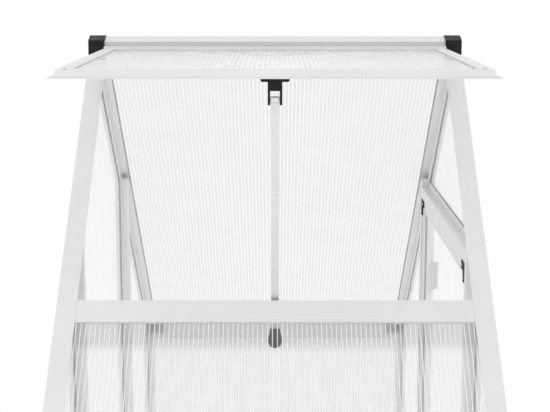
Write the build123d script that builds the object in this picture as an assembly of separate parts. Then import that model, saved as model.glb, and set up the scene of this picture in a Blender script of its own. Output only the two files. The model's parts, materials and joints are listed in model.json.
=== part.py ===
from build123d import *
import math
import os

# Small gable greenhouse: aluminium extrusions, twin-wall sheets, a full-width roof vent and a side-hung door.
# Millimetres. X runs along the ridge towards the door gable, Y across the house with the vent on the -Y
# slope, Z up from the ground.

# The house
house_length = 720
house_span = 1900
ridge_height = 1950
roof_pitch = 40
ridge_rise = 20

# Extruded bars and the sheets they hold
wall = 1.6
sheet = 4.0
sheet_play = 0.2
edge_play = 2.0
leg_length = 12.4
glazing_inset = 9.6
face_width = 33
inner_flange = 30.6
rafter_box = 17.6
post_depth = 30
post_width = 20
post_spacing = 716
eave_drop = 30
joint_gap = 0.3

# Twin-wall ribs
rib_pitch = 8
rib_wall = 0.7
skin = 0.7

# Ridge bar and its end caps
ridge_half = 27
ridge_fall = 8.5
ridge_lip = 11
lip_step = 3
ridge_box_half = 10
ridge_box_drop = 43
cap_length = 31
cap_wall = 2
cap_end = 3
cap_skirt = 38

# Base sills
sill_height = 30
foot_width = 24
foot_thick = 3
anchor_radius = 4.5
anchor_spacing = 500

# Brackets and bolts
plate = 3
bracket_leg = 42
bracket_height = 26
bolt_head_radius = 5.5
bolt_head = 4

# Roof vent
hinge_offset = 23.8
hinge_drop = 29.5
bead_radius = 3.7
hinge_play = 0.3
socket_wall = 1.4
mouth_rise = 0.45
neck = 2.2
sash_play = 0.5
sash_flange = 11.5
sash_lap = 11.8
sash_height = 13.6
sash_bar = 12
sash_top = 6
sash_lip = 10
fork_seat = 24
rear_start = 6.5
rail_rise = 4
bead_short = 3.5
screw_radius = 3.2
screw_head = 1.6
screw_inset = 15

# Vent sill
sill_run = 470
sill_box = 26
sill_face = 44
sill_depth = 20

# Stay, its fork bracket and its peg
fork_from_front = 25
fork_depth = 14
fork_flange = 44
fork_flange_thick = 6
fork_round = 3
fork_body = 22
fork_body_height = 13.8
fork_leg = 3.7
fork_leg_length = 21.4
pin_drop = 33
pin_radius = 2.5
pin_fit = 0.05
stay_width = 13.4
stay_thick = 3
stay_length = 460
stay_hole = 2.7
stay_hole_step = 70
stay_hole_count = 4
eye_radius = 5
grip_width = 25
grip_length = 35
grip_neck = 8
grip_base = 9
grip_rise = 8
peg_radius = 2.2
peg_length = 4.5
peg_base = 7
peg_base_thick = 1.5
peg_depth = 11
peg_play = 0.4

# Door and latch
door_play = 3
head_play = 1
door_depth = 18
door_bar = 18
hinge_height = 60
hinge_inset = 180
hinge_count = 3
hinge_plate = 2
hinge_plate_width = 19
knuckle_radius = 5.5
knuckle_play = 1
hinge_pin = 3
stop_reach = 4
stop_play = 0.5
corner_leg = 36
corner_width = 16
latch_height = 1000
latch_inset = 12
spindle_radius = 4
spindle_play = 0.3
rose_radius = 12
rose_proud = 2
lever_hub = 11
lever_tip = 7
lever_reach = 85
lever_thick = 8
cam_hub = 8
cam_tip = 5
cam_reach = 42
cam_thick = 4

# Worked out from the sizes above
half_length = house_length / 2
half_span = house_span / 2
apex_z = ridge_height - ridge_rise
ridge_top = ridge_height - cap_wall
sin_p = math.sin(math.radians(roof_pitch))
cos_p = math.cos(math.radians(roof_pitch))
tan_p = sin_p / cos_p
slot = sheet + 2 * sheet_play
bar_width = glazing_inset + slot + wall
leg_reach = bar_width + leg_length
sheet_top = wall + sheet_play
shelf_top = wall + slot
shelf_bottom = shelf_top + wall
rafter_depth = rafter_box + leg_length
clear_x = half_length - face_width - joint_gap
sheet_half = half_length - bar_width - edge_play
post_y = post_spacing / 2
post_inner = post_y - post_width / 2
post_outer = post_y + post_width / 2
bay_inner = post_outer + leg_length
bay_outer = half_span - leg_reach
hinge_z = ridge_height - hinge_drop
sash_bottom = sash_top - sash_height
sash_half = half_length - cap_length - sash_play
sill_start = sill_run / cos_p
hinge_t = hinge_offset * cos_p + (apex_z - hinge_z) * sin_p
sash_length = sill_start - hinge_t + sash_lap
sill_end = sill_start + sill_face
leaf_inset = post_depth - wall - stop_play - door_depth
leaf_face = half_length - leaf_inset


# Sketch and placing helpers
def rect(x0, x1, y0, y1):
    return Pos((x0 + x1) / 2, (y0 + y1) / 2) * Rectangle(abs(x1 - x0), abs(y1 - y0))


def joined(*shapes):
    return Sketch() + list(shapes)


def tube(x0, x1, y0, y1):
    return rect(x0, x1, y0, y1) - rect(x0 + wall, x1 - wall, y0 + wall, y1 - wall)


def along_x(sketch, x0, x1):
    return Pos(x0, 0, 0) * extrude(Plane.YZ * sketch, amount=x1 - x0, dir=(1, 0, 0))


def along_y(sketch, y0, y1):
    return Pos(0, y0, 0) * extrude(Plane.XZ * sketch, amount=y1 - y0, dir=(0, 1, 0))


def along_z(sketch, z0, z1):
    return Pos(0, 0, z0) * extrude(sketch, amount=z1 - z0, dir=(0, 0, 1))


def corner(shape, side_x, side_y):
    if side_x < 0:
        shape = mirror(shape, about=Plane.YZ)
    if side_y < 0:
        shape = mirror(shape, about=Plane.XZ)
    return shape


def save(shape, name):
    export_step(shape, f"parts/{name}.step")


def save_group(shapes, name):
    save(Compound(children=list(shapes)), name)


# The rear slope's section in Y and Z: t runs down the slope from the apex, n goes in from the rafter tops
def on_slope(t0, t1, n0, n1):
    return Pos(0, apex_z) * Rot(0, 0, -roof_pitch) * rect(t0, t1, -n1, -n0)


def slope_z(y, n):
    return apex_z - y * tan_p - n / cos_p


def slope_t(y, n):
    return (y + n * sin_p) / cos_p


def below_slope(shape, n):
    cut = Plane(origin=(0, 0, slope_z(0, n)), z_dir=(0, sin_p, cos_p))
    return split(shape, bisect_by=cut, keep=Keep.BOTTOM)


# The two legs of a glazing channel: the first size runs in from the outer face, the second along the legs
def leg_pair(start, end):
    outer = rect(glazing_inset - wall, glazing_inset, start, end)
    inner = rect(bar_width - wall, bar_width, start, end)
    return outer, inner


# Turns a section drawn from an outer face into one at +X, or at +Y
def from_gable(sketch):
    return Pos(half_length, 0) * mirror(sketch, about=Plane.YZ)


def from_wall(sketch):
    return Pos(half_span, 0) * mirror(sketch, about=Plane.YZ)


# Base sills
def sill_legs():
    return joined(*leg_pair(sill_height, sill_height + leg_length))


def side_sill():
    box = from_wall(tube(0, bar_width, 0, sill_height))
    foot = from_wall(rect(bar_width, bar_width + foot_width, 0, foot_thick))
    foot_end = half_length - bar_width
    leg_end = half_length - leg_reach
    sill = along_x(box, -half_length, half_length)
    sill += along_x(foot, -foot_end, foot_end)
    sill += along_x(from_wall(sill_legs()), -leg_end, leg_end)
    for x in (-anchor_spacing / 2, anchor_spacing / 2):
        place = Pos(x, half_span - bar_width - foot_width / 2, foot_thick / 2)
        sill -= place * Cylinder(anchor_radius, 2 * foot_thick)
    return sill


def gable_sill(spans):
    box_end = half_span - bar_width
    foot_end = box_end - foot_width
    foot = from_gable(rect(bar_width, bar_width + foot_width, 0, foot_thick))
    sill = along_y(from_gable(tube(0, bar_width, 0, sill_height)), -box_end, box_end)
    sill += along_y(foot, -foot_end, foot_end)
    for y0, y1 in spans:
        sill += along_y(from_gable(sill_legs()), y0, y1)
    return sill


def make_sills():
    side_bays = [(-bay_outer, -bay_inner), (bay_inner, bay_outer)]
    middle_bay = [(-post_inner + leg_length, post_inner - leg_length)]
    save(corner(side_sill(), 1, -1), "base_sill_front")
    save(side_sill(), "base_sill_rear")
    save(corner(gable_sill(side_bays + middle_bay), -1, 1), "base_sill_left")
    save(gable_sill(side_bays), "base_sill_door")


# Posts: the box runs up to the rafter's box, the legs stop under the rafter's legs
def standing(box, legs):
    post = below_slope(along_z(box, sill_height, ridge_height), rafter_box)
    return post + below_slope(along_z(legs, sill_height, ridge_height), rafter_depth + joint_gap)


def mirror_diagonal(sketch):
    return mirror(sketch.rotate(Axis.Z, -90), about=Plane.XZ)


def corner_post():
    place = Pos(half_length, half_span) * Rot(0, 0, 180)
    gable_legs = joined(*leg_pair(bar_width, leg_reach))
    legs = gable_legs + mirror_diagonal(gable_legs)
    return standing(place * tube(0, bar_width, 0, bar_width), place * legs)


def post_box():
    return from_gable(tube(0, post_depth, post_inner, post_outer))


def outer_legs():
    return joined(*leg_pair(post_outer, post_outer + leg_length))


def gable_post():
    legs = outer_legs() + joined(*leg_pair(post_inner - leg_length, post_inner))
    return standing(post_box(), from_gable(legs))


# The leaf shuts against a thin stop in line with the posts' and the head's inner faces
def door_post():
    stop = rect(post_depth - wall, post_depth, post_inner - stop_reach, post_inner)
    post = standing(post_box(), from_gable(outer_legs()))
    return post + along_z(from_gable(stop), sill_height, head_bottom())


def make_posts():
    for name_x, side_x in (("left", -1), ("right", 1)):
        for name_y, side_y in (("front", -1), ("rear", 1)):
            save(corner(corner_post(), side_x, side_y), f"corner_post_{name_y}_{name_x}")
    for name_y, side_y in (("front", -1), ("rear", 1)):
        save(corner(gable_post(), -1, side_y), f"gable_post_{name_y}")
        save(corner(door_post(), 1, side_y), f"door_post_{name_y}")


# Rafters: a closed box with a shelf and a cover flange for the roof sheet, and legs for the gable sheet
def rafter():
    section = joined(
        tube(0, bar_width, 0, rafter_box),
        rect(bar_width - wall, face_width, 0, wall),
        rect(bar_width - wall, inner_flange, shelf_top, shelf_bottom),
    )
    legs = joined(*leg_pair(rafter_box - wall / 2, rafter_depth))
    length = slope_t(half_span, rafter_depth) + rafter_depth
    roof = Plane(origin=(0, 0, apex_z), x_dir=(1, 0, 0), z_dir=(0, cos_p, -sin_p))
    bar = roof * extrude(from_gable(section), amount=length, dir=(0, 0, 1))
    channel = roof * extrude(from_gable(legs), amount=length, dir=(0, 0, 1))
    for y0, y1 in ((post_inner, post_outer), (half_span - bar_width, half_span + rafter_depth)):
        middle = (y0 + y1) / 2
        notch = Box(2 * face_width, y1 - y0 + 2 * joint_gap, 2 * ridge_height)
        channel -= Pos(half_length, middle, 0) * notch
    bar = bar + channel
    reach = half_span - ridge_box_half - joint_gap
    keep = Pos(half_length, half_span - reach / 2, 0) * Box(4 * face_width, reach, 4 * ridge_height)
    return bar & keep


def make_rafters():
    for name_x, side_x in (("left", -1), ("right", 1)):
        for name_y, side_y in (("front", -1), ("rear", 1)):
            save(corner(rafter(), side_x, side_y), f"rafter_{name_y}_{name_x}")


# A house-shaped outline, symmetrical about the ridge
def pitched(half, top, eave, floor):
    return Polygon((half, floor), (half, eave), (0, top), (-half, eave), (-half, floor), align=None)


# Ridge bar: a pitched cover over a closed box, with the vent's socket in front and a sheet slot behind
def ridge_cover():
    eave = ridge_top - ridge_fall
    floor = eave - ridge_lip
    lip = ridge_half - lip_step
    under = pitched(lip - wall, ridge_top - wall, eave - wall, floor)
    edges = [rect(side * (lip - wall), side * ridge_half, eave - wall, eave) for side in (-1, 1)]
    return joined(pitched(lip, ridge_top, eave, floor) - under, *edges)


def socket_section():
    inner = bead_radius + hinge_play
    outer = inner + socket_wall
    ring = Circle(outer) - Circle(inner)
    far = 2 * outer
    mouth = Polygon((0, 0), (0, -far), (far, -far), (far, mouth_rise * far), align=None)
    arm = rect(-hinge_offset + ridge_box_half - wall, -inner, -wall / 2, wall / 2)
    socket = ring - mouth + arm
    return mirror(Pos(hinge_offset, hinge_z) * socket, about=Plane.YZ)


def ridge_bar():
    box_floor = ridge_top - ridge_box_drop
    box_roof = ridge_top - ridge_fall * ridge_box_half / ridge_half - wall / 2
    box = tube(-ridge_box_half, ridge_box_half, box_floor, box_roof)
    start = slope_t(ridge_box_half - wall, 0)
    shelf_start = slope_t(ridge_box_half - wall, shelf_bottom)
    cover = on_slope(start, start + face_width, 0, wall)
    shelf = on_slope(shelf_start, start + face_width, shelf_top, shelf_bottom)
    end = half_length - cap_end
    bar = along_x(joined(ridge_cover(), box), -end, end)
    bar += along_x(joined(cover, shelf), -clear_x, clear_x)
    bar += along_x(socket_section(), -clear_x, clear_x)
    return bar


def ridge_cap():
    floor = ridge_height - cap_skirt
    rafter_room = on_slope(0, 4 * ridge_half, -joint_gap, 4 * ridge_half)
    rafter_room += mirror(rafter_room, about=Plane.YZ)
    inside = ridge_half + joint_gap
    eave = ridge_height - ridge_fall
    outline = pitched(inside + cap_wall, ridge_height, eave, floor)
    hollow = pitched(inside, ridge_top + joint_gap, eave - cap_wall + joint_gap, floor)
    tongue = rect(-ridge_box_half, ridge_box_half, ridge_top - ridge_box_drop, ridge_top - ridge_fall)
    shell = along_x(outline - hollow, half_length - cap_length, half_length)
    shell += along_x(outline - rafter_room + tongue, half_length - cap_end, half_length)
    return shell


def make_ridge():
    save(ridge_bar(), "ridge_bar")
    for name, side in (("left", -1), ("right", 1)):
        save(corner(ridge_cap(), side, 1), f"ridge_cap_{name}")


# An upright strip from y0 to y1 whose top follows the rear slope, n in from the rafter tops
def slanted(y0, y1, floor, n):
    return Polygon((y0, floor), (y1, floor), (y1, slope_z(y1, n)), (y0, slope_z(y0, n)), align=None)


# Eave rails between the corner posts
def eave_rail():
    inner_y = half_span - bar_width
    floor = slope_z(half_span, shelf_top) - eave_drop
    box = slanted(inner_y, half_span, floor, shelf_top)
    hollow = slanted(inner_y + wall, half_span - wall, floor + wall, shelf_bottom)
    stop = slanted(half_span - wall, half_span, floor, wall)
    shelf_end = slope_t(inner_y + wall, shelf_bottom)
    shelf = on_slope(shelf_end - face_width, shelf_end, shelf_top, shelf_bottom)
    legs = from_wall(joined(*leg_pair(floor - leg_length, floor + wall)))
    return along_x(joined(box - hollow, shelf, stop, legs), -clear_x, clear_x)


def make_eaves():
    save(corner(eave_rail(), 1, -1), "eave_rail_front")
    save(eave_rail(), "eave_rail_rear")


# Vent sill across the front slope, with the lower roof sheet's slot on its down-slope side
def vent_sill():
    section = joined(
        on_slope(sill_start, sill_start + sill_box, 0, sill_depth)
        - on_slope(sill_start + wall, sill_start + sill_box - wall, wall, sill_depth - wall),
        on_slope(sill_start + sill_box - wall, sill_end, 0, wall),
        on_slope(sill_end - wall, sill_end, -wall / 2, wall),
        on_slope(sill_start + sill_box - wall, sill_end - 2 * wall, shelf_top, shelf_bottom),
    )
    return corner(along_x(section, -clear_x, clear_x), 1, -1)


# Door head between the door posts; its legs end short of the posts, so they reach up nearer the ridge
def head_leg_end():
    return post_inner - joint_gap - leg_length


def head_top():
    return slope_z(head_leg_end(), rafter_depth) - head_play


def head_bottom():
    return head_top() - face_width


def door_head():
    floor = head_bottom()
    top = head_top() - leg_length
    stop = rect(post_depth - wall, post_depth, floor - stop_reach, floor + wall)
    channel = joined(*leg_pair(top - wall, head_top()))
    end = post_inner - joint_gap
    leg_end = head_leg_end()
    stop_end = post_inner - stop_reach - joint_gap
    head = along_y(from_gable(tube(0, post_depth, floor, top)), -end, end)
    head += along_y(from_gable(stop), -stop_end, stop_end)
    return head + along_y(from_gable(channel), -leg_end, leg_end)


# Sheets
def ribbed_sheet(width, length):
    count = int((width - rib_wall) // rib_pitch)
    flute = Rectangle(rib_pitch - rib_wall, sheet - 2 * skin)
    section = Rectangle(width, sheet) - [place * flute for place in GridLocations(rib_pitch, 1, count, 1)]
    return extrude(section, amount=length, dir=(0, 0, 1))


def roof_sheet(t0, t1):
    roof = Plane(origin=(0, 0, apex_z), x_dir=(1, 0, 0), z_dir=(0, cos_p, -sin_p))
    return roof * Pos(0, sheet_top + sheet / 2, t0) * ribbed_sheet(2 * sheet_half, t1 - t0)


def side_sheet():
    top = slope_z(half_span, shelf_top) - eave_drop - edge_play
    inset = glazing_inset + sheet_play
    section = from_wall(rect(inset, inset + sheet, sill_height + edge_play, top))
    return along_x(section, -sheet_half, sheet_half)


def gable_sheet(points):
    inset = half_length - glazing_inset - sheet_play - sheet
    return along_x(Polygon(*points, align=None), inset, inset + sheet)


def bay_sheet():
    floor = sill_height + edge_play
    depth = rafter_box + edge_play
    y0 = post_outer + edge_play
    y1 = half_span - bar_width - edge_play
    return gable_sheet([(y0, floor), (y1, floor), (y1, slope_z(y1, depth)), (y0, slope_z(y0, depth))])


def centre_sheet(floor):
    depth = rafter_box + edge_play
    y1 = post_inner - edge_play
    sheet_end = gable_sheet([(-y1, floor), (y1, floor), (y1, slope_z(y1, depth)), (0, slope_z(0, depth)),
                             (-y1, slope_z(y1, depth))])
    peak = ridge_top - ridge_box_drop - edge_play
    return split(sheet_end, bisect_by=Plane(origin=(0, 0, peak), z_dir=(0, 0, 1)), keep=Keep.BOTTOM)


def make_sheets():
    ridge_end = slope_t(ridge_box_half, shelf_top) + edge_play
    sill_slot = sill_start + sill_box + edge_play
    eave_end = slope_t(half_span - wall - edge_play, wall)
    save(roof_sheet(ridge_end, eave_end), "roof_sheet_rear")
    save(corner(roof_sheet(sill_slot, eave_end), 1, -1), "roof_sheet_front")
    save(side_sheet(), "wall_sheet_rear")
    save(corner(side_sheet(), 1, -1), "wall_sheet_front")
    for name_x, side_x in (("left", -1), ("door", 1)):
        for name_y, side_y in (("front", -1), ("rear", 1)):
            save(corner(bay_sheet(), side_x, side_y), f"gable_sheet_{name_x}_{name_y}")
    save(corner(centre_sheet(sill_height + edge_play), -1, 1), "gable_sheet_left_centre")
    save(centre_sheet(head_top() - leg_length + edge_play), "gable_sheet_over_door")


# Brackets and their bolts, which stand on the inner faces of the bars
def bolt():
    return extrude(RegularPolygon(bolt_head_radius, 6), amount=bolt_head)


def bracket_bolts(z):
    first = bracket_leg / 3
    second = bracket_leg - 2 * bolt_head_radius
    on_gable = Plane(origin=(half_length - bar_width - plate, 0, z), z_dir=(-1, 0, 0))
    on_wall = Plane(origin=(0, half_span - bar_width - plate, z), z_dir=(0, -1, 0))
    places = []
    for reach in (first + plate, second):
        places.append(Pos(0, half_span - bar_width - reach, 0) * Location(on_gable))
        places.append(Pos(half_length - bar_width - reach, 0, 0) * Location(on_wall))
    return places


def corner_bracket(z):
    x1 = half_length - bar_width
    y1 = half_span - bar_width
    angle = joined(rect(x1 - bracket_leg, x1, y1 - plate, y1), rect(x1 - plate, x1, y1 - bracket_leg, y1))
    return along_z(angle, z - bracket_height / 2, z + bracket_height / 2)


def bracket_levels():
    base = foot_thick + bracket_height / 2
    eave = slope_z(half_span - bar_width, rafter_box) - bracket_height / 2
    return (base, eave)


def make_brackets():
    brackets = []
    bolts = []
    for side_x in (-1, 1):
        for side_y in (-1, 1):
            for z in bracket_levels():
                brackets.append(corner(corner_bracket(z), side_x, side_y))
                bolts += [corner(place * bolt(), side_x, side_y) for place in bracket_bolts(z)]
    save_group(brackets, "frame_brackets")
    save_group(bolts, "frame_bolts")


# Roof vent, drawn open and level: u runs forward from the hinge, w up from it
def sash_rect(u0, u1, w0, w1):
    return rect(-hinge_offset - u1, -hinge_offset - u0, hinge_z + w0, hinge_z + w1)


def sash_slot(u0, u1):
    low = sash_top - wall - slot
    return joined(sash_rect(u0, u1, low - wall, low), sash_rect(u0, u1, sash_top - wall, sash_top))


def vent_hinge_rail():
    start = rear_start + sash_bar
    top = sash_top + rail_rise
    box = sash_rect(rear_start, start, sash_bottom, top)
    box -= sash_rect(rear_start + wall, start - wall, sash_bottom + wall, top - wall)
    slot_end = sash_half - sash_bar
    rail = along_x(box, -sash_half, sash_half)
    rail += along_x(sash_slot(start - wall, start + sash_lip), -slot_end, slot_end)
    bead = Pos(-hinge_offset, hinge_z) * Circle(bead_radius)
    bead += sash_rect(0, rear_start + wall, -neck / 2, neck / 2)
    bead_end = sash_half - bead_short
    return rail + along_x(bead, -bead_end, bead_end)


def vent_side():
    low = hinge_z + sash_bottom
    top = hinge_z + sash_top
    inner = sash_half - sash_bar
    section = joined(
        tube(inner, sash_half, low, top),
        rect(sash_half - wall, sash_half + sash_flange, low, low + wall),
        rect(inner - sash_lip, inner + wall, top - 2 * wall - slot, top - wall - slot),
        rect(inner - sash_lip, inner + wall, top - wall, top),
    )
    start = rear_start + sash_bar
    end = sash_length - sash_bar
    bar = along_y(section, -hinge_offset - end, -hinge_offset - start)
    for u0, u1 in ((start, start + sash_lip), (end - sash_lip, end)):
        room = Box(2 * sash_lip, u1 - u0 + 2 * joint_gap, 2 * sash_height)
        bar -= Pos(inner - sash_lip, -hinge_offset - (u0 + u1) / 2, hinge_z) * room
    return bar


def vent_front_bar():
    start = sash_length - sash_bar
    box = sash_rect(start, sash_length, sash_bottom, sash_top)
    box -= sash_rect(start + wall, sash_length - wall, sash_bottom + wall, sash_top - wall)
    slot_end = sash_half - sash_bar
    lip_end = sash_half + sash_flange
    lip = sash_rect(start + wall, sash_length + wall, sash_bottom, sash_bottom + wall)
    bar = along_x(box, -sash_half, sash_half)
    bar += along_x(sash_slot(start - sash_lip, start + wall), -slot_end, slot_end)
    seat = sash_rect(start - fork_seat, start + wall, sash_bottom, sash_bottom + wall)
    bar += along_x(seat, -slot_end, slot_end)
    return bar + along_x(lip, -lip_end, lip_end)


def vent_sheet():
    start = rear_start + sash_bar + edge_play
    end = sash_length - sash_bar - edge_play
    middle = hinge_z + sash_top - wall - slot / 2
    lying = Plane(origin=(0, -hinge_offset - start, middle), x_dir=(1, 0, 0), z_dir=(0, -1, 0))
    return lying * ribbed_sheet(2 * (sash_half - sash_bar - edge_play), end - start)


def screw():
    return extrude(RegularPolygon(screw_radius, 6), amount=screw_head)


def vent_screws():
    inset = sash_bar / 2
    screws = []
    for u, top in ((rear_start + inset, sash_top + rail_rise), (sash_length - inset, sash_top)):
        for side in (-1, 1):
            place = Pos(side * (sash_half - screw_inset), -hinge_offset - u, hinge_z + top)
            screws.append(place * screw())
    return screws


# Fork bracket under the vent's front bar, its pin, and the stay in it
def fork_u():
    return sash_length - fork_from_front


def pivot():
    return Pos(0, -hinge_offset - fork_u(), hinge_z + sash_bottom - pin_drop)


def stay_fork():
    top = pin_drop
    body_top = top - fork_flange_thick
    leg_top = body_top - fork_body_height
    leg_end = leg_top - fork_leg_length
    half = fork_body / 2
    flange = rect(-fork_flange / 2, fork_flange / 2, body_top, top)
    flange = fillet(flange.vertices().group_by(Axis.Y)[0], fork_round)
    section = joined(
        flange,
        rect(-half, half, leg_top, body_top + wall),
        rect(-half, -half + fork_leg, leg_end, leg_top + wall),
        rect(half - fork_leg, half, leg_end, leg_top + wall),
    )
    fork = along_y(section, -fork_depth / 2, fork_depth / 2)
    fork -= Rot(0, 90, 0) * Cylinder(pin_radius + pin_fit, 2 * fork_body)
    return pivot() * fork


def stay_pin():
    return pivot() * Rot(0, 90, 0) * Cylinder(pin_radius, fork_body)


def peg_place():
    roof = Plane(origin=(0, 0, apex_z), x_dir=(1, 0, 0), z_dir=(0, cos_p, -sin_p))
    return roof * Pos(0, peg_depth, sill_start) * Rot(180, 0, 0)


def stay_peg():
    peg = Pos(0, 0, peg_base_thick / 2) * Cylinder(peg_base, peg_base_thick)
    peg += Pos(0, 0, peg_length / 2) * Cylinder(peg_radius, peg_length)
    return corner(peg_place() * peg, 1, -1)


# The stay leans so that its face passes just clear of the peg's tip
def stay_line():
    tip = (peg_place() * Pos(0, 0, peg_length)).position
    run = hinge_offset + fork_u() - tip.Y
    drop = pivot().position.Z - tip.Z
    reach = math.hypot(run, drop)
    offset = peg_play + peg_radius * math.sin(math.radians(roof_pitch) / 2) + stay_thick / 2
    lean = math.degrees(math.atan2(run, drop) + math.asin(offset / reach))
    return lean, reach


def stay_bar():
    lean, peg_reach = stay_line()
    bar = Rot(0, 90, 0) * Cylinder(eye_radius, stay_width)
    bar += Pos(0, 0, -stay_length / 2) * Box(stay_width, stay_thick, stay_length)
    bar -= Rot(0, 90, 0) * Cylinder(pin_radius + hinge_play, 2 * stay_width)
    for index in range(stay_hole_count):
        hole = Rot(90, 0, 0) * Cylinder(stay_hole, 4 * stay_thick)
        bar -= Pos(0, 0, -peg_reach + index * stay_hole_step) * hole
    return pivot() * Rot(lean, 0, 0) * bar


def stay_grip():
    lean = stay_line()[0]
    radius = grip_width / 2
    end = grip_length / 2
    points = [(0, -end), (grip_base, -end), (radius, grip_rise - end), (grip_neck, end), (0, end)]
    knob = revolve(Plane.XZ * Polygon(*points, align=None), axis=Axis.Z)
    centre = Pos(0, 0, -stay_length + grip_length / 4)
    room = Box(stay_width + 2 * pin_fit, stay_thick + 2 * pin_fit, grip_length)
    grip = knob - Pos(0, 0, grip_length / 4 - pin_fit) * room
    return pivot() * Rot(lean, 0, 0) * centre * grip


def make_vent():
    save(vent_hinge_rail(), "vent_hinge_rail")
    save(vent_side(), "vent_side_right")
    save(corner(vent_side(), -1, 1), "vent_side_left")
    save(vent_front_bar(), "vent_front_bar")
    save(vent_sheet(), "vent_sheet")
    save_group(vent_screws(), "vent_screws")
    save(vent_sill(), "vent_sill")
    save(stay_fork(), "stay_fork")
    save(stay_pin(), "stay_pin")
    save(stay_peg(), "stay_peg")
    save(stay_bar(), "stay_bar")
    save(stay_grip(), "stay_grip")


# Door leaf in the right gable, hung on the rear door post
def door_floor():
    return sill_height + door_play


def door_top():
    return head_bottom() - door_play


def leaf_half():
    return post_inner - door_play


def from_leaf(sketch):
    return Pos(-leaf_inset, 0) * from_gable(sketch)


# Heights of the three rails' boxes
def rail_levels():
    floor = door_floor()
    top = door_top()
    middle = (floor + top - door_bar) / 2
    return [(floor, floor + door_bar), (middle, middle + door_bar), (top - door_bar, top)]


def door_stile(side):
    outer = leaf_half()
    inner = outer - door_bar
    stile = along_z(from_leaf(tube(0, door_depth, inner, outer)), door_floor(), door_top())
    legs = from_leaf(joined(*leg_pair(inner - leg_length, inner)))
    levels = rail_levels()
    for lower, upper in zip(levels, levels[1:]):
        stile += along_z(legs, lower[1] + leg_length, upper[0] - leg_length)
    if side < 0:
        stile = corner(stile, 1, -1)
        stile -= latch_place() * Rot(0, 90, 0) * Cylinder(spindle_radius + spindle_play, 4 * door_depth)
    return stile


def door_rail(level, legs_up, legs_down):
    low, high = level
    end = leaf_half() - door_bar
    rail = along_y(from_leaf(tube(0, door_depth, low, high)), -end, end)
    leg_end = end - leg_length
    if legs_up:
        rail += along_y(from_leaf(joined(*leg_pair(high, high + leg_length))), -leg_end, leg_end)
    if legs_down:
        rail += along_y(from_leaf(joined(*leg_pair(low - leg_length, low))), -leg_end, leg_end)
    return rail


def door_sheet(low, high):
    end = leaf_half() - door_bar - edge_play
    return Pos(-leaf_inset, 0, 0) * gable_sheet([(-end, low), (end, low), (end, high), (-end, high)])


# Corner plates keep clear of the stops: the plate's outer corner, and the ways in from it
def corner_places():
    inset = stop_reach - door_play + joint_gap
    y = leaf_half() - inset
    places = []
    for side_y in (-1, 1):
        for z, flip in ((door_floor() + inset, 1), (door_top() - inset, -1)):
            places.append((side_y * y, z, -side_y, flip))
    return places


def door_corners():
    x = leaf_face - door_depth
    plates = []
    for y, z, in_y, in_z in corner_places():
        arm_y = rect(y, y + in_y * corner_leg, z, z + in_z * corner_width)
        arm_z = rect(y, y + in_y * corner_width, z, z + in_z * corner_leg)
        plates.append(along_x(joined(arm_y, arm_z), x - plate, x))
    return plates


def door_screws():
    x = leaf_face - door_depth - plate
    middle = corner_width / 2
    far = corner_leg - middle
    screws = []
    for y, z, in_y, in_z in corner_places():
        for along_bar, up in ((far, middle), (middle, far)):
            place = Pos(x, y + in_y * along_bar, z + in_z * up)
            screws.append(place * Rot(0, -90, 0) * screw())
    return screws


# Lift-off hinges: the lower knuckle and pin on the post, the upper knuckle on the door
def hinge_axis():
    return half_length + knuckle_radius, post_inner - door_play / 2


def hinge_levels():
    low = door_floor() + hinge_inset
    high = door_top() - hinge_inset
    return [low + index * (high - low) / (hinge_count - 1) for index in range(hinge_count)]


def hinge_knuckle(side, z0, z1):
    x, y = hinge_axis()
    bridge = rect(half_length, half_length + hinge_plate, y, y + side * (knuckle_radius + knuckle_play))
    return along_z(joined(bridge, Pos(x, y) * Circle(knuckle_radius)), z0, z1)


def hinge_post_leaf():
    x, y = hinge_axis()
    edge = y + knuckle_radius + knuckle_play
    half = hinge_height / 2
    leaf = along_z(rect(half_length, half_length + hinge_plate, edge, edge + hinge_plate_width), -half, half)
    leaf += hinge_knuckle(1, -half, -joint_gap)
    return leaf + along_z(Pos(x, y) * Circle(hinge_pin), -joint_gap, half)


def hinge_door_leaf():
    x, y = hinge_axis()
    edge = y - knuckle_radius - knuckle_play
    half = hinge_height / 2
    flat = rect(leaf_face, leaf_face + hinge_plate, edge - hinge_plate_width, edge)
    web = rect(leaf_face, half_length + hinge_plate, edge - hinge_plate, edge)
    leaf = along_z(joined(flat, web), -half, half) + hinge_knuckle(-1, joint_gap, half)
    return leaf - along_z(Pos(x, y) * Circle(hinge_pin + hinge_play), -half, half)


# Latch: an outside lever on a spindle that carries a cam behind the front door post
def latch_place():
    return Pos(leaf_face, -leaf_half() + latch_inset, latch_height)


# The cam turns just behind the post's inner face
def cam_back():
    return leaf_inset - post_depth - joint_gap


def latch_rose():
    ring = Circle(rose_radius) - Circle(spindle_radius + spindle_play)
    return latch_place() * along_x(ring, 0, leaf_inset + rose_proud)


def latch_lever():
    hub = Circle(lever_hub)
    tip = Pos(0, -lever_reach) * Circle(lever_tip)
    arm = make_hull((hub + tip).edges())
    start = leaf_inset + rose_proud + joint_gap
    end = cam_back() - cam_thick
    front = start + lever_thick
    lever = along_x(arm, start, front) + along_x(Circle(spindle_radius), end, front)
    return latch_place() * lever


def latch_cam():
    hub = Circle(cam_hub)
    tip = Pos(0, -cam_reach) * Circle(cam_tip)
    arm = make_hull((hub + tip).edges()) - Circle(spindle_radius + pin_fit)
    return latch_place() * along_x(arm, cam_back() - cam_thick, cam_back())


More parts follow.
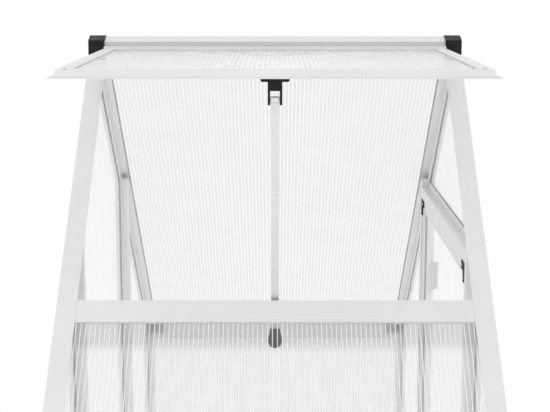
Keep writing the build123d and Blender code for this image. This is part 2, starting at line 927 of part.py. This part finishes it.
def make_door():
    bottom, middle, top = rail_levels()
    save(door_stile(1), "door_stile_hinge")
    save(door_stile(-1), "door_stile_latch")
    save(door_rail(bottom, True, False), "door_rail_bottom")
    save(door_rail(middle, True, True), "door_rail_middle")
    save(door_rail(top, False, True), "door_rail_top")
    save(door_sheet(bottom[1] + edge_play, middle[0] - edge_play), "door_sheet_lower")
    save(door_sheet(middle[1] + edge_play, top[0] - edge_play), "door_sheet_upper")
    save(door_head(), "door_head")
    save_group(door_corners(), "door_corners")
    save_group(door_screws(), "door_screws")
    save_group([Pos(0, 0, z) * hinge_post_leaf() for z in hinge_levels()], "hinge_post_leaves")
    save_group([Pos(0, 0, z) * hinge_door_leaf() for z in hinge_levels()], "hinge_door_leaves")
    save(latch_rose(), "latch_rose")
    save(latch_lever(), "latch_lever")
    save(latch_cam(), "latch_cam")


os.makedirs("parts", exist_ok=True)
make_sills()
make_posts()
make_rafters()
make_ridge()
make_eaves()
make_sheets()
make_brackets()
make_vent()
make_door()
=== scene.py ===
import json
import math

import bmesh
import bpy
from mathutils import Matrix, Vector


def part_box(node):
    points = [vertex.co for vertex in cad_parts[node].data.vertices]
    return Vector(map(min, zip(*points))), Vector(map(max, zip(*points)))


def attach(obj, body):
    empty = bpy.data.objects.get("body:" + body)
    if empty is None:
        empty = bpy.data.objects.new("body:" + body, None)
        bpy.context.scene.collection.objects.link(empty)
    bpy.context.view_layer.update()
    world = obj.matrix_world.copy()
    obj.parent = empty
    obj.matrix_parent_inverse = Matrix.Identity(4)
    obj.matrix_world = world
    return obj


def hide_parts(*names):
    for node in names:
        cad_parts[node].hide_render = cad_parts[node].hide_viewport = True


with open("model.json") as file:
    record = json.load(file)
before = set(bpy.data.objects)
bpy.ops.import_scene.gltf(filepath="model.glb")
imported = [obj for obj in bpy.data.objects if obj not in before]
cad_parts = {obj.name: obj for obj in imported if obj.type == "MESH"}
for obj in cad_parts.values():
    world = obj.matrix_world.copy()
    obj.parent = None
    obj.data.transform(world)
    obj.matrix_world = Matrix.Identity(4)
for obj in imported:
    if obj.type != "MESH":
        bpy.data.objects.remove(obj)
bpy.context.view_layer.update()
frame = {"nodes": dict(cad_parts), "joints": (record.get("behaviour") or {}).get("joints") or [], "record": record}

scene = bpy.context.scene
nodes = frame["nodes"]
joints = {joint["name"]: joint for joint in frame["joints"]}
roofPitch = math.radians(joints["vent_hinge"]["range_deg"][1])  # the vent shuts flat on the slope
tinyGap = 0.00001  # points nearer than this count as one


# Node helpers shared by the finishes

def startFinish(name):
    material = bpy.data.materials.new(name)
    material.use_nodes = True
    tree = material.node_tree
    tree.nodes.clear()
    output = tree.nodes.new("ShaderNodeOutputMaterial")
    shader = tree.nodes.new("ShaderNodeBsdfPrincipled")
    tree.links.new(shader.outputs["BSDF"], output.inputs["Surface"])
    return material, tree, shader


def addNode(tree, kind, inputs=None, **settings):
    node = tree.nodes.new(kind)
    for key, value in settings.items():
        setattr(node, key, value)
    for key, value in (inputs or {}).items():
        if isinstance(value, bpy.types.NodeSocket):
            tree.links.new(value, node.inputs[key])
        else:
            node.inputs[key].default_value = value
    return node


def objectPlace(tree, turn=(0, 0, 0), scale=(1, 1, 1)):
    coordinates = addNode(tree, "ShaderNodeTexCoord")
    mapping = addNode(tree, "ShaderNodeMapping", {
        "Vector": coordinates.outputs["Object"], "Rotation": turn, "Scale": scale})
    return mapping.outputs["Vector"]


def addMath(tree, operation, first, second=0.0):
    return addNode(tree, "ShaderNodeMath", {0: first, 1: second}, operation=operation).outputs["Value"]


def addNoise(tree, place, scale, detail, rough=0.5):
    noise = addNode(tree, "ShaderNodeTexNoise", {
        "Vector": place, "Scale": scale, "Detail": detail, "Roughness": rough})
    return noise.outputs["Fac"]


def spread(tree, value, low, high, fromLow=0.0, fromHigh=1.0):
    ranged = addNode(tree, "ShaderNodeMapRange", {
        "Value": value, "From Min": fromLow, "From Max": fromHigh, "To Min": low, "To Max": high})
    return ranged.outputs["Result"]


def mixNumbers(tree, factor, first, second):  # sockets 0, 2 and 3 are the ones for plain numbers
    return addNode(tree, "ShaderNodeMix", {0: factor, 2: first, 3: second}).outputs[0]


def blendColours(tree, factor, first, second):
    ramp = addNode(tree, "ShaderNodeValToRGB", {"Fac": factor})
    ramp.color_ramp.elements[0].color = (*first, 1)
    ramp.color_ramp.elements[1].color = (*second, 1)
    return ramp.outputs["Color"]


def addBump(tree, shader, height, strength, distance):
    bump = addNode(tree, "ShaderNodeBump", {"Height": height, "Strength": strength, "Distance": distance})
    tree.links.new(bump.outputs["Normal"], shader.inputs["Normal"])


# Mill-finish aluminium: soft drawing lines along each bar, faint clouds and a little handling wear
barFinish = {
    "dark": (0.76, 0.76, 0.762), "light": (0.85, 0.85, 0.852), "toneRange": (0.6, 1.4), "metal": 0.35,
    "lineScale": 620, "alongScale": 3.0, "lineDetail": 3.0, "lineRough": 0.6,
    "cloudScale": 9.0, "cloudDetail": 5.0, "cloudRough": 0.55,
    "roughLow": 0.36, "roughHigh": 0.50, "wearRange": (0.3, 0.7), "bump": 0.05, "bumpDeep": 0.0004,
}


def aluminium(name, turn, alongAxis):
    material, tree, shader = startFinish(name)
    scale = [barFinish["lineScale"]] * 3
    scale[alongAxis] = barFinish["alongScale"]
    lines = addNoise(tree, objectPlace(tree, turn, scale), 1.0, barFinish["lineDetail"],
                     barFinish["lineRough"])
    clouds = addNoise(tree, objectPlace(tree), barFinish["cloudScale"], barFinish["cloudDetail"],
                      barFinish["cloudRough"])
    tone = spread(tree, addMath(tree, "ADD", lines, clouds), 0, 1, *barFinish["toneRange"])
    colour = blendColours(tree, tone, barFinish["dark"], barFinish["light"])
    tree.links.new(colour, shader.inputs["Base Color"])
    rough = spread(tree, clouds, barFinish["roughLow"], barFinish["roughHigh"], *barFinish["wearRange"])
    tree.links.new(rough, shader.inputs["Roughness"])
    shader.inputs["Metallic"].default_value = barFinish["metal"]
    addBump(tree, shader, lines, barFinish["bump"], barFinish["bumpDeep"])
    return material


barAlongX = aluminium("aluminiumAlongX", (0, 0, 0), 0)
barAlongY = aluminium("aluminiumAlongY", (0, 0, 0), 1)
barAlongZ = aluminium("aluminiumAlongZ", (0, 0, 0), 2)
barFrontSlope = aluminium("aluminiumFrontSlope", (-roofPitch, 0, 0), 1)
barRearSlope = aluminium("aluminiumRearSlope", (roofPitch, 0, 0), 1)
print("aluminium finishes ready")


# Twin-wall sheet: thin see-through skins, another tone where a rib crosses, faint dust and scuffs
sheetFinish = {
    "pitch": 0.008, "sideRange": (0.6, 0.7),
    "dustSpread": 0.10, "dustScale": 14, "dustDetail": 6.0, "dustRough": 0.6, "dustRange": (0.35, 0.65),
    "roughLow": 0.10, "roughHigh": 0.28, "ior": 1.58, "sheenPower": 5.0, "bump": 0.25, "bumpDeep": 0.0003,
    # painted shade under the front sheet's top bar: its tone, the cover it adds, and the drops below the top edge
    # where it starts and where it is full
    "paintedShadeTone": (0.30, 0.30, 0.305), "paintedShadeAlpha": 0.10, "paintedShadeDrop": (0.050, 0.036),
}
ribHalf = sheetFinish["pitch"] / 2
clearSkin = (0.955, 0.957, 0.958)
smokySkin = (0.42, 0.423, 0.425)
paleRib = (0.975, 0.976, 0.977)
# painted shade: darker tones for the vent sheet's ribs and web sides, in place of the shade seen behind them
paintedShadeRib = (0.80, 0.805, 0.81)
paintedShadeWeb = (0.42, 0.425, 0.43)
sharpRib = {"ribWidth": 0.0012, "ribSoft": 0.0005}
softRib = {"ribWidth": 0.0010, "ribSoft": 0.0012}
# Axis across the ribs and where the first one is, then tone, cover and low-angle gleam of the skins,
# and tone and cover of the ribs where they meet the skins and of the webs' own sides
sheetKinds = {
    "twinWallRear": {
        "axis": 0, "offset": ribHalf, "skinTone": smokySkin, "film": 0.074, "sheen": 0.3,
        "ribTone": paleRib, "ribAlpha": 0.065, "webTone": paleRib, "webAlpha": 0.06, **softRib},
    "twinWallFront": {
        "axis": 0, "offset": ribHalf, "skinTone": smokySkin, "film": 0.016, "sheen": 0.3,
        "ribTone": paleRib, "ribAlpha": 0.42, "webTone": paleRib, "webAlpha": 0.42, **sharpRib},
    # the vent's darker rib and web tones are painted shade
    "twinWallVent": {
        "axis": 0, "offset": 0.0, "skinTone": clearSkin, "film": 0.028, "sheen": 0.75,
        "ribTone": paintedShadeRib, "ribAlpha": 0.30, "webTone": paintedShadeWeb, "webAlpha": 0.14, **sharpRib},
    "twinWallGable": {
        "axis": 1, "offset": 0.0, "skinTone": clearSkin, "film": 0.035, "sheen": 0.20,
        "ribTone": paleRib, "ribAlpha": 0.12, "webTone": paleRib, "webAlpha": 0.03, **sharpRib},
    "twinWallWeb": {
        "axis": 1, "offset": 0.0, "skinTone": clearSkin, "film": 0.03, "sheen": 0.05,
        "ribTone": paleRib, "ribAlpha": 0.0, "webTone": clearSkin, "webAlpha": 0.03, **sharpRib},
}


def ribLines(tree, place, kind):  # 1 along each rib, 0 between them
    shifted = addMath(tree, "ADD", place.outputs["XYZ"[kind["axis"]]], kind["offset"])
    fromRib = addMath(tree, "PINGPONG", shifted, ribHalf)
    half = kind["ribWidth"] / 2
    return spread(tree, fromRib, 1, 0, half, half + kind["ribSoft"])


def webSides(tree, axis):  # 1 on faces that look across the ribs
    coordinates = addNode(tree, "ShaderNodeTexCoord")
    normal = addNode(tree, "ShaderNodeSeparateXYZ", {"Vector": coordinates.outputs["Normal"]})
    turned = addMath(tree, "ABSOLUTE", normal.outputs["XYZ"[axis]])
    return spread(tree, turned, 0, 1, *sheetFinish["sideRange"])


def lowAngleGleam(tree, sheen):
    facing = addNode(tree, "ShaderNodeLayerWeight").outputs["Facing"]
    return addMath(tree, "MULTIPLY", addMath(tree, "POWER", facing, sheetFinish["sheenPower"]), sheen)


def twinWall(name, paintedShadeBand=None):
    kind = sheetKinds[name]
    material, tree, shader = startFinish(name)
    place = addNode(tree, "ShaderNodeSeparateXYZ", {"Vector": objectPlace(tree)})
    rib = ribLines(tree, place, kind)
    web = webSides(tree, kind["axis"])
    dust = addNoise(tree, objectPlace(tree), sheetFinish["dustScale"], sheetFinish["dustDetail"],
                    sheetFinish["dustRough"])
    filmLow = kind["film"] * (1 - sheetFinish["dustSpread"])
    filmHigh = kind["film"] * (1 + sheetFinish["dustSpread"])
    film = spread(tree, dust, filmLow, filmHigh, *sheetFinish["dustRange"])
    tone = (*kind["skinTone"], 1)
    if paintedShadeBand:  # painted shade: a greyer, less clear strip just below the bar that holds the sheet's top edge, in place of the shade under that bar
        paintedShade = spread(tree, place.outputs["Z"], 0, 1, *paintedShadeBand)
        film = addMath(tree, "ADD", film, addMath(tree, "MULTIPLY", paintedShade, sheetFinish["paintedShadeAlpha"]))
        tone = blendColours(tree, paintedShade, kind["skinTone"], sheetFinish["paintedShadeTone"])
    skinAlpha = mixNumbers(tree, rib, film, kind["ribAlpha"])
    alpha = mixNumbers(tree, web, skinAlpha, kind["webAlpha"])
    cover = addMath(tree, "MAXIMUM", alpha, lowAngleGleam(tree, kind["sheen"]))
    tree.links.new(cover, shader.inputs["Alpha"])
    skin = addNode(tree, "ShaderNodeMixRGB", {"Fac": rib, "Color1": tone, "Color2": (*kind["ribTone"], 1)})
    sided = addNode(tree, "ShaderNodeMixRGB", {
        "Fac": web, "Color1": skin.outputs["Color"], "Color2": (*kind["webTone"], 1)})
    tree.links.new(sided.outputs["Color"], shader.inputs["Base Color"])
    rough = spread(tree, dust, sheetFinish["roughLow"], sheetFinish["roughHigh"], *sheetFinish["dustRange"])
    tree.links.new(rough, shader.inputs["Roughness"])
    shader.inputs["IOR"].default_value = sheetFinish["ior"]
    addBump(tree, shader, rib, sheetFinish["bump"], sheetFinish["bumpDeep"])
    return material


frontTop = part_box("roof_sheet_front")[1].z
rearSheetFinish = twinWall("twinWallRear")
# the front sheet gets painted shade just below its top bar
frontSheetFinish = twinWall("twinWallFront", [frontTop - drop for drop in sheetFinish["paintedShadeDrop"]])
ventSheetFinish = twinWall("twinWallVent")
gableSheetFinish = twinWall("twinWallGable")
webFinish = twinWall("twinWallWeb")
print("twin-wall finishes ready")


# Moulded black plastic: fine grain with slightly greyer worn patches
plasticFinish = {
    "dark": (0.007, 0.007, 0.007), "light": (0.014, 0.014, 0.014), "toneRange": (0.35, 0.7),
    "grainScale": 1400, "patchScale": 35, "patchDetail": 4.0,
    "roughLow": 0.42, "roughHigh": 0.62, "wearRange": (0.3, 0.7),
    "gloss": 0.22, "bump": 0.25, "bumpDeep": 0.0002,
}


def blackPlastic(name):
    material, tree, shader = startFinish(name)
    grain = addNode(tree, "ShaderNodeTexVoronoi", {
        "Vector": objectPlace(tree), "Scale": plasticFinish["grainScale"]})
    patch = addNoise(tree, objectPlace(tree), plasticFinish["patchScale"], plasticFinish["patchDetail"])
    tone = spread(tree, patch, 0, 1, *plasticFinish["toneRange"])
    colour = blendColours(tree, tone, plasticFinish["dark"], plasticFinish["light"])
    tree.links.new(colour, shader.inputs["Base Color"])
    rough = spread(tree, patch, plasticFinish["roughLow"], plasticFinish["roughHigh"],
                   *plasticFinish["wearRange"])
    tree.links.new(rough, shader.inputs["Roughness"])
    shader.inputs["Specular IOR Level"].default_value = plasticFinish["gloss"]
    addBump(tree, shader, grain.outputs["Distance"], plasticFinish["bump"], plasticFinish["bumpDeep"])
    return material


mouldedBlack = blackPlastic("mouldedBlack")


# Zinc-plated steel: small spangles and a dull sheen
zincFinish = {
    "dark": (0.47, 0.475, 0.485), "light": (0.66, 0.665, 0.67), "toneRange": (0.5, 1.5),
    "spangleScale": 420, "cloudScale": 60, "cloudDetail": 4.0,
    "roughLow": 0.28, "roughHigh": 0.48, "wearRange": (0.3, 0.7), "metal": 1.0,
}


def zincSteel(name):
    material, tree, shader = startFinish(name)
    spangle = addNode(tree, "ShaderNodeTexVoronoi", {
        "Vector": objectPlace(tree), "Scale": zincFinish["spangleScale"]})
    spotted = addNode(tree, "ShaderNodeRGBToBW", {"Color": spangle.outputs["Color"]})
    cloud = addNoise(tree, objectPlace(tree), zincFinish["cloudScale"], zincFinish["cloudDetail"])
    tone = spread(tree, addMath(tree, "ADD", spotted.outputs["Val"], cloud), 0, 1, *zincFinish["toneRange"])
    colour = blendColours(tree, tone, zincFinish["dark"], zincFinish["light"])
    tree.links.new(colour, shader.inputs["Base Color"])
    rough = spread(tree, cloud, zincFinish["roughLow"], zincFinish["roughHigh"], *zincFinish["wearRange"])
    tree.links.new(rough, shader.inputs["Roughness"])
    shader.inputs["Metallic"].default_value = zincFinish["metal"]
    return material


platedSteel = zincSteel("platedSteel")
print("plastic and steel finishes ready")


# Which finish each CAD node gets, by its slot and by the way its bar runs
alongYNodes = ("base_sill_left", "base_sill_door", "vent_side_left", "vent_side_right", "door_head",
               "door_rail_bottom", "door_rail_middle", "door_rail_top")
alongZWords = ("post", "stile", "stay_bar")
slopingSheets = {"vent_sheet": ventSheetFinish, "roof_sheet_front": frontSheetFinish,
                 "roof_sheet_rear": rearSheetFinish}


def finishFor(name, slotName):
    if slotName == "black_plastic":
        return mouldedBlack
    if slotName == "zinc_steel":
        return platedSteel
    if slotName == "ribbed_sheet":
        return slopingSheets[name]
    if slotName == "wall_sheet":
        return rearSheetFinish if name.startswith("wall_") else gableSheetFinish
    if name.startswith("rafter_"):
        return barFrontSlope if "front" in name else barRearSlope
    if name in alongYNodes:
        return barAlongY
    if any(word in name for word in alongZWords):
        return barAlongZ
    return barAlongX


slotOf = {row["node"]: row["material_slot"] for row in frame["record"]["subparts"]}
for name, node in nodes.items():
    finish = finishFor(name, slotOf[name])
    if not node.material_slots:
        node.data.materials.append(finish)
    for holder in node.material_slots:
        holder.material = finish
print("finishes set on", len(nodes), "nodes")


# Detail pieces: each rides on its body and stands for the CAD node it dresses

def toMesh(name, shape):
    mesh = bpy.data.meshes.new(name)
    shape.to_mesh(mesh)
    shape.free()
    return mesh


def addPiece(name, shape, body, finish, node):
    bmesh.ops.recalc_face_normals(shape, faces=shape.faces)
    mesh = toMesh(name, shape)
    mesh.materials.append(finish)
    piece = bpy.data.objects.new(name, mesh)
    scene.collection.objects.link(piece)
    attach(piece, body)
    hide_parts(node)
    return piece


# Corners of every separate head in a node of fasteners
def headBoxes(node):
    shape = bmesh.new()
    shape.from_mesh(nodes[node].data)
    bmesh.ops.remove_doubles(shape, verts=shape.verts, dist=tinyGap)
    waiting = set(shape.verts)
    boxes = []
    for start in shape.verts:
        if start not in waiting:
            continue
        waiting.remove(start)
        group = [start]
        for vert in group:
            near = {edge.other_vert(vert) for edge in vert.link_edges} & waiting
            waiting -= near
            group.extend(near)
        low = Vector([min(vert.co[axis] for vert in group) for axis in range(3)])
        high = Vector([max(vert.co[axis] for vert in group) for axis in range(3)])
        boxes.append((low, high))
    shape.free()
    return boxes


# One head set on every seat, turned to face away from it
def setHeads(node, headMesh, facing):
    shape = bmesh.new()
    for low, high in headBoxes(node):
        size = high - low
        centre = (low + high) / 2
        outward = facing(centre, min(range(3), key=lambda axis: size[axis]))
        seat = centre - outward * abs(size.dot(outward)) / 2
        before = len(shape.verts)
        shape.from_mesh(headMesh)
        shape.verts.ensure_lookup_table()
        turn = outward.to_track_quat("Z", "Y").to_matrix().to_4x4()
        bmesh.ops.transform(shape, matrix=Matrix.Translation(seat) @ turn, verts=shape.verts[before:])
    bpy.data.meshes.remove(headMesh)
    return shape


def turnProfile(shape, geom, steps):
    bmesh.ops.spin(shape, geom=geom, axis=(0, 0, 1), angle=2 * math.pi, steps=steps, use_merge=True)


# Cross-recess screws at the vent's corners and on the door's corner plates
screwHead = {
    "profile": ((0.0032, 0.0), (0.0032, 0.0005), (0.0028, 0.0011), (0.0019, 0.0015)),  # radius, height
    "crossHalf": 0.0013, "crossCells": 3, "crossDeep": 0.0009, "steps": 24,
}


def inCross(face):
    centre = face.calc_center_median()
    return min(abs(centre.x), abs(centre.y)) < screwHead["crossHalf"] / screwHead["crossCells"]


def makeScrewHead():
    shape = bmesh.new()
    verts = [shape.verts.new((radius, 0, height)) for radius, height in screwHead["profile"]]
    edges = [shape.edges.new(pair) for pair in zip(verts, verts[1:])]
    turnProfile(shape, verts + edges, screwHead["steps"])
    foot = [edge for edge in shape.edges if edge.is_boundary and edge.verts[0].co.z < tinyGap]
    bmesh.ops.contextual_create(shape, geom=foot)
    top = Matrix.Translation((0, 0, screwHead["profile"][-1][1]))
    cells = screwHead["crossCells"]
    grid = bmesh.ops.create_grid(shape, x_segments=cells, y_segments=cells, size=screwHead["crossHalf"],
                                 matrix=top)
    square = set(grid["verts"])
    bmesh.ops.bridge_loops(shape, edges=[edge for edge in shape.edges if edge.is_boundary])
    cross = [face for face in shape.faces if square.issuperset(face.verts) and inCross(face)]
    sunk = bmesh.ops.extrude_face_region(shape, geom=cross)["geom"]
    down = [item for item in sunk if isinstance(item, bmesh.types.BMVert)]
    bmesh.ops.translate(shape, verts=down, vec=(0, 0, -screwHead["crossDeep"]))
    return toMesh("screwHead", shape)


addPiece("ventScrews", setHeads("vent_screws", makeScrewHead(), lambda centre, axis: Vector((0, 0, 1))),
         "vent", platedSteel, "vent_screws")
addPiece("doorScrews", setHeads("door_screws", makeScrewHead(), lambda centre, axis: Vector((-1, 0, 0))),
         "door", platedSteel, "door_screws")
print("screws set")


# Hexagon bolts on the corner brackets, edges broken and the top slightly dished
roundBevel = {"offset_type": "OFFSET", "profile": 0.5, "material": -1}
boltHead = {"radius": 0.0055, "height": 0.004, "edge": 0.0006, "edgeSteps": 2, "rim": 0.0011, "dish": 0.0003}


def makeBoltHead():
    shape = bmesh.new()
    place = Matrix.Translation((0, 0, boltHead["height"] / 2))
    bmesh.ops.create_cone(shape, cap_ends=True, segments=6, radius1=boltHead["radius"],
                          radius2=boltHead["radius"], depth=boltHead["height"], matrix=place)
    top = max(shape.faces, key=lambda face: face.calc_center_median().z)
    bmesh.ops.inset_region(shape, faces=[top], thickness=boltHead["rim"], depth=-boltHead["dish"])
    upper = [edge for edge in shape.edges
             if min(vert.co.z for vert in edge.verts) > boltHead["height"] - tinyGap]
    bmesh.ops.bevel(shape, geom=upper, offset=boltHead["edge"], segments=boltHead["edgeSteps"],
                    affect="EDGES", **roundBevel)
    return toMesh("boltHead", shape)


def towardsMiddle(centre, axis):
    outward = Vector((0, 0, 0))
    outward[axis] = -math.copysign(1, centre[axis])
    return outward


addPiece("frameBolts", setHeads("frame_bolts", makeBoltHead(), towardsMiddle),
         "frame", platedSteel, "frame_bolts")
print("bolts set")


# Grip at the stay's lower end: a turned bell with a soft foot, on the stay's own line
stayGrip = {
    "steps": 48, "bevelSteps": 4, "cornerDigits": 6,
    "profile": ((0.0, 0.0, 0.0), (0.0094, 0.0, 0.0015), (0.0125, 0.24, 0.004), (0.0098, 0.68, 0.006),
                (0.0080, 1.0, 0.0010), (0.0, 1.0, 0.0)),  # radius, share of the length, rounding
}


def makeStayGrip():
    pivot = Vector(joints["stay_swing"]["pos_m"])
    digits = stayGrip["cornerDigits"]
    corners = {tuple(round(part, digits) for part in vert.co) for vert in nodes["stay_grip"].data.vertices}
    middle = sum((Vector(spot) for spot in corners), Vector()) / len(corners)
    line = (pivot - middle).normalized()  # up the stay
    reach = [line.dot(Vector(spot) - middle) for spot in corners]
    foot = middle + line * min(reach)
    length = max(reach) - min(reach)
    shape = bmesh.new()
    verts = [shape.verts.new((radius, 0, share * length)) for radius, share, rounding in stayGrip["profile"]]
    for pair in zip(verts, verts[1:]):
        shape.edges.new(pair)
    for vert, (radius, share, rounding) in zip(verts, stayGrip["profile"]):
        if rounding:
            bmesh.ops.bevel(shape, geom=[vert], offset=rounding, segments=stayGrip["bevelSteps"],
                            affect="VERTICES", **roundBevel)
    turnProfile(shape, shape.verts[:] + shape.edges[:], stayGrip["steps"])
    bmesh.ops.remove_doubles(shape, verts=shape.verts, dist=tinyGap)
    turn = line.to_track_quat("Z", "Y").to_matrix().to_4x4()
    bmesh.ops.transform(shape, matrix=Matrix.Translation(foot) @ turn, verts=shape.verts)
    for face in shape.faces:
        face.smooth = True
    return shape


addPiece("stayGripBell", makeStayGrip(), "stay", mouldedBlack, "stay_grip")
print("grip turned")


# Upright sheets with real flutes: two thin skins and a web at every pitch, cut to the roof line
fluteShape = {"skin": 0.0006, "web": 0.0007, "clear": 0.00005}
# Axis across the ribs, axis through the sheet, and where the first rib is
wallRun = {"across": 0, "through": 1, "offset": ribHalf}
gableRun = {"across": 1, "through": 0, "offset": 0.0}


def addBlock(shape, low, high, finishIndex):
    place = Matrix.Translation((low + high) / 2) @ Matrix.Diagonal((*(high - low), 1))
    for vert in bmesh.ops.create_cube(shape, size=1.0, matrix=place)["verts"]:
        for face in vert.link_faces:
            face.material_index = finishIndex


def cutToRoof(shape, node):
    low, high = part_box(node)
    for side in (-1, 1):
        if side * (high if side > 0 else low).y < 0:
            continue
        normal = Vector((0, side * math.sin(roofPitch), math.cos(roofPitch)))
        reach = max(normal.dot(vert.co) for vert in nodes[node].data.vertices)
        cut = bmesh.ops.bisect_plane(shape, geom=shape.verts[:] + shape.edges[:] + shape.faces[:],
                                     plane_co=normal * reach, plane_no=normal, clear_outer=True)["geom_cut"]
        bmesh.ops.holes_fill(shape, edges=[item for item in cut if isinstance(item, bmesh.types.BMEdge)])


def makeFluted(node, across, through, offset):
    low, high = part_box(node)
    shape = bmesh.new()
    inLow, inHigh = low.copy(), high.copy()
    inLow[through] += fluteShape["skin"]
    inHigh[through] -= fluteShape["skin"]
    lowSkin, highSkin = high.copy(), low.copy()
    lowSkin[through] = inLow[through]
    highSkin[through] = inHigh[through]
    addBlock(shape, low, lowSkin, 0)
    addBlock(shape, highSkin, high, 0)
    pitch = sheetFinish["pitch"]
    half = fluteShape["web"] / 2
    first = math.ceil((low[across] + half - offset) / pitch)
    last = math.floor((high[across] - half - offset) / pitch)
    for step in range(first, last + 1):
        webLow, webHigh = inLow.copy(), inHigh.copy()
        webLow[across] = offset + step * pitch - half
        webHigh[across] = offset + step * pitch + half
        webLow[through] += fluteShape["clear"]
        webHigh[through] -= fluteShape["clear"]
        addBlock(shape, webLow, webHigh, 1)
    if node.startswith("gable_"):
        cutToRoof(shape, node)
    return shape


flutedNodes = [name for name in nodes if slotOf[name] == "wall_sheet"]
for name in flutedNodes:
    fluted = makeFluted(name, **(wallRun if name.startswith("wall_") else gableRun))
    body = "door" if name.startswith("door_") else "frame"
    sheetPiece = addPiece(name + "_fluted", fluted, body, finishFor(name, "wall_sheet"), name)
    sheetPiece.data.materials.append(webFinish)
print("fluted sheets set:", len(flutedNodes))


# Studio: a pale floor that fades into a white surround
studio = {
    "floorSize": 16.0, "floorSteps": 96, "floorTone": (0.90, 0.90, 0.90), "floorRough": 0.9,
    "fadeRange": (1.9, 3.3), "surround": 0.88,
}


def seenRays(tree):  # 1 for camera, glossy and transmission rays
    path = addNode(tree, "ShaderNodeLightPath")
    direct = addMath(tree, "MAXIMUM", path.outputs["Is Camera Ray"], path.outputs["Is Glossy Ray"])
    return addMath(tree, "MAXIMUM", direct, path.outputs["Is Transmission Ray"])


def makeSurround():
    world = bpy.data.worlds.new("whiteSurround")
    world.use_nodes = True
    tree = world.node_tree
    tree.nodes.clear()
    output = tree.nodes.new("ShaderNodeOutputWorld")
    strength = spread(tree, seenRays(tree), studio["surround"], 1.0)
    background = addNode(tree, "ShaderNodeBackground", {"Color": (1, 1, 1, 1), "Strength": strength})
    tree.links.new(background.outputs["Background"], output.inputs["Surface"])
    scene.world = world


def makeFloor():
    shape = bmesh.new()
    bmesh.ops.create_circle(shape, cap_ends=True, segments=studio["floorSteps"], radius=studio["floorSize"])
    mesh = toMesh("studioFloor", shape)
    floor = bpy.data.objects.new("studioFloor", mesh)
    scene.collection.objects.link(floor)
    material, tree, shader = startFinish("studioFloorPale")
    shader.inputs["Base Color"].default_value = (*studio["floorTone"], 1)
    shader.inputs["Roughness"].default_value = studio["floorRough"]
    shader.inputs["Specular IOR Level"].default_value = 0.0
    distance = addNode(tree, "ShaderNodeVectorMath", {0: objectPlace(tree)}, operation="LENGTH")
    fade = spread(tree, distance.outputs["Value"], 0, 1, *studio["fadeRange"])
    seen = addMath(tree, "MULTIPLY", fade, seenRays(tree))
    white = addNode(tree, "ShaderNodeEmission", {"Color": (1, 1, 1, 1), "Strength": 1.0})
    mix = addNode(tree, "ShaderNodeMixShader", {
        "Fac": seen, 1: shader.outputs["BSDF"], 2: white.outputs["Emission"]})
    output = next(node for node in tree.nodes if node.type == "OUTPUT_MATERIAL")
    tree.links.new(mix.outputs["Shader"], output.inputs["Surface"])
    mesh.materials.append(material)


# A broad key, a softer fill, a low lamp in front, and a wide one on the ground that lights the undersides
houseMiddle = (0, 0, 1.2)
lamps = {
    "keyLamp": {"place": (-2.2, -2.6, 4.2), "aim": houseMiddle, "size": 3.0, "power": 9, "gloss": True},
    "fillLamp": {"place": (3.4, -1.2, 2.6), "aim": houseMiddle, "size": 3.5, "power": 7, "gloss": True},
    "lowLamp": {"place": (0, -3.6, 0.5), "aim": houseMiddle, "size": 2.6, "power": 14, "gloss": False},
    "groundLamp": {"place": (0, 0, 0.02), "aim": (0, 0.01, 2.0), "size": 2.6, "power": 13, "gloss": False},
}


def makeLamp(name, place, aim, size, power, gloss):
    lamp = bpy.data.lights.new(name, "AREA")
    lamp.shape = "DISK"
    lamp.size = size
    lamp.energy = power
    holder = bpy.data.objects.new(name, lamp)
    holder.location = place
    holder.visible_camera = False
    holder.visible_glossy = gloss
    beam = Vector(aim) - Vector(place)
    holder.rotation_euler = beam.to_track_quat("-Z", "Y").to_euler()
    scene.collection.objects.link(holder)


makeSurround()
makeFloor()
for name, settings in lamps.items():
    makeLamp(name, **settings)
print("studio ready")


# Camera a little above the ridge on the vent side, tilted down, fitted to a 550 by 412 frame
cameraFit = {"place": (0, -2.6171, 2.0651), "pitch": 9.807, "lens": 87.37, "sensor": 36, "clip": (0.05, 100)}


def makeCamera():
    lens = bpy.data.cameras.new("photoCamera")
    lens.sensor_width = cameraFit["sensor"]
    lens.lens = cameraFit["lens"]
    lens.clip_start, lens.clip_end = cameraFit["clip"]
    holder = bpy.data.objects.new("photoCamera", lens)
    holder.location = cameraFit["place"]
    holder.rotation_euler = (math.radians(90 - cameraFit["pitch"]), 0, 0)
    scene.collection.objects.link(holder)
    scene.camera = holder


makeCamera()
scene.view_settings.view_transform = "Standard"
scene.cycles.transparent_max_bounces = 48  # a ray through the house crosses many thin skins
print("camera set")
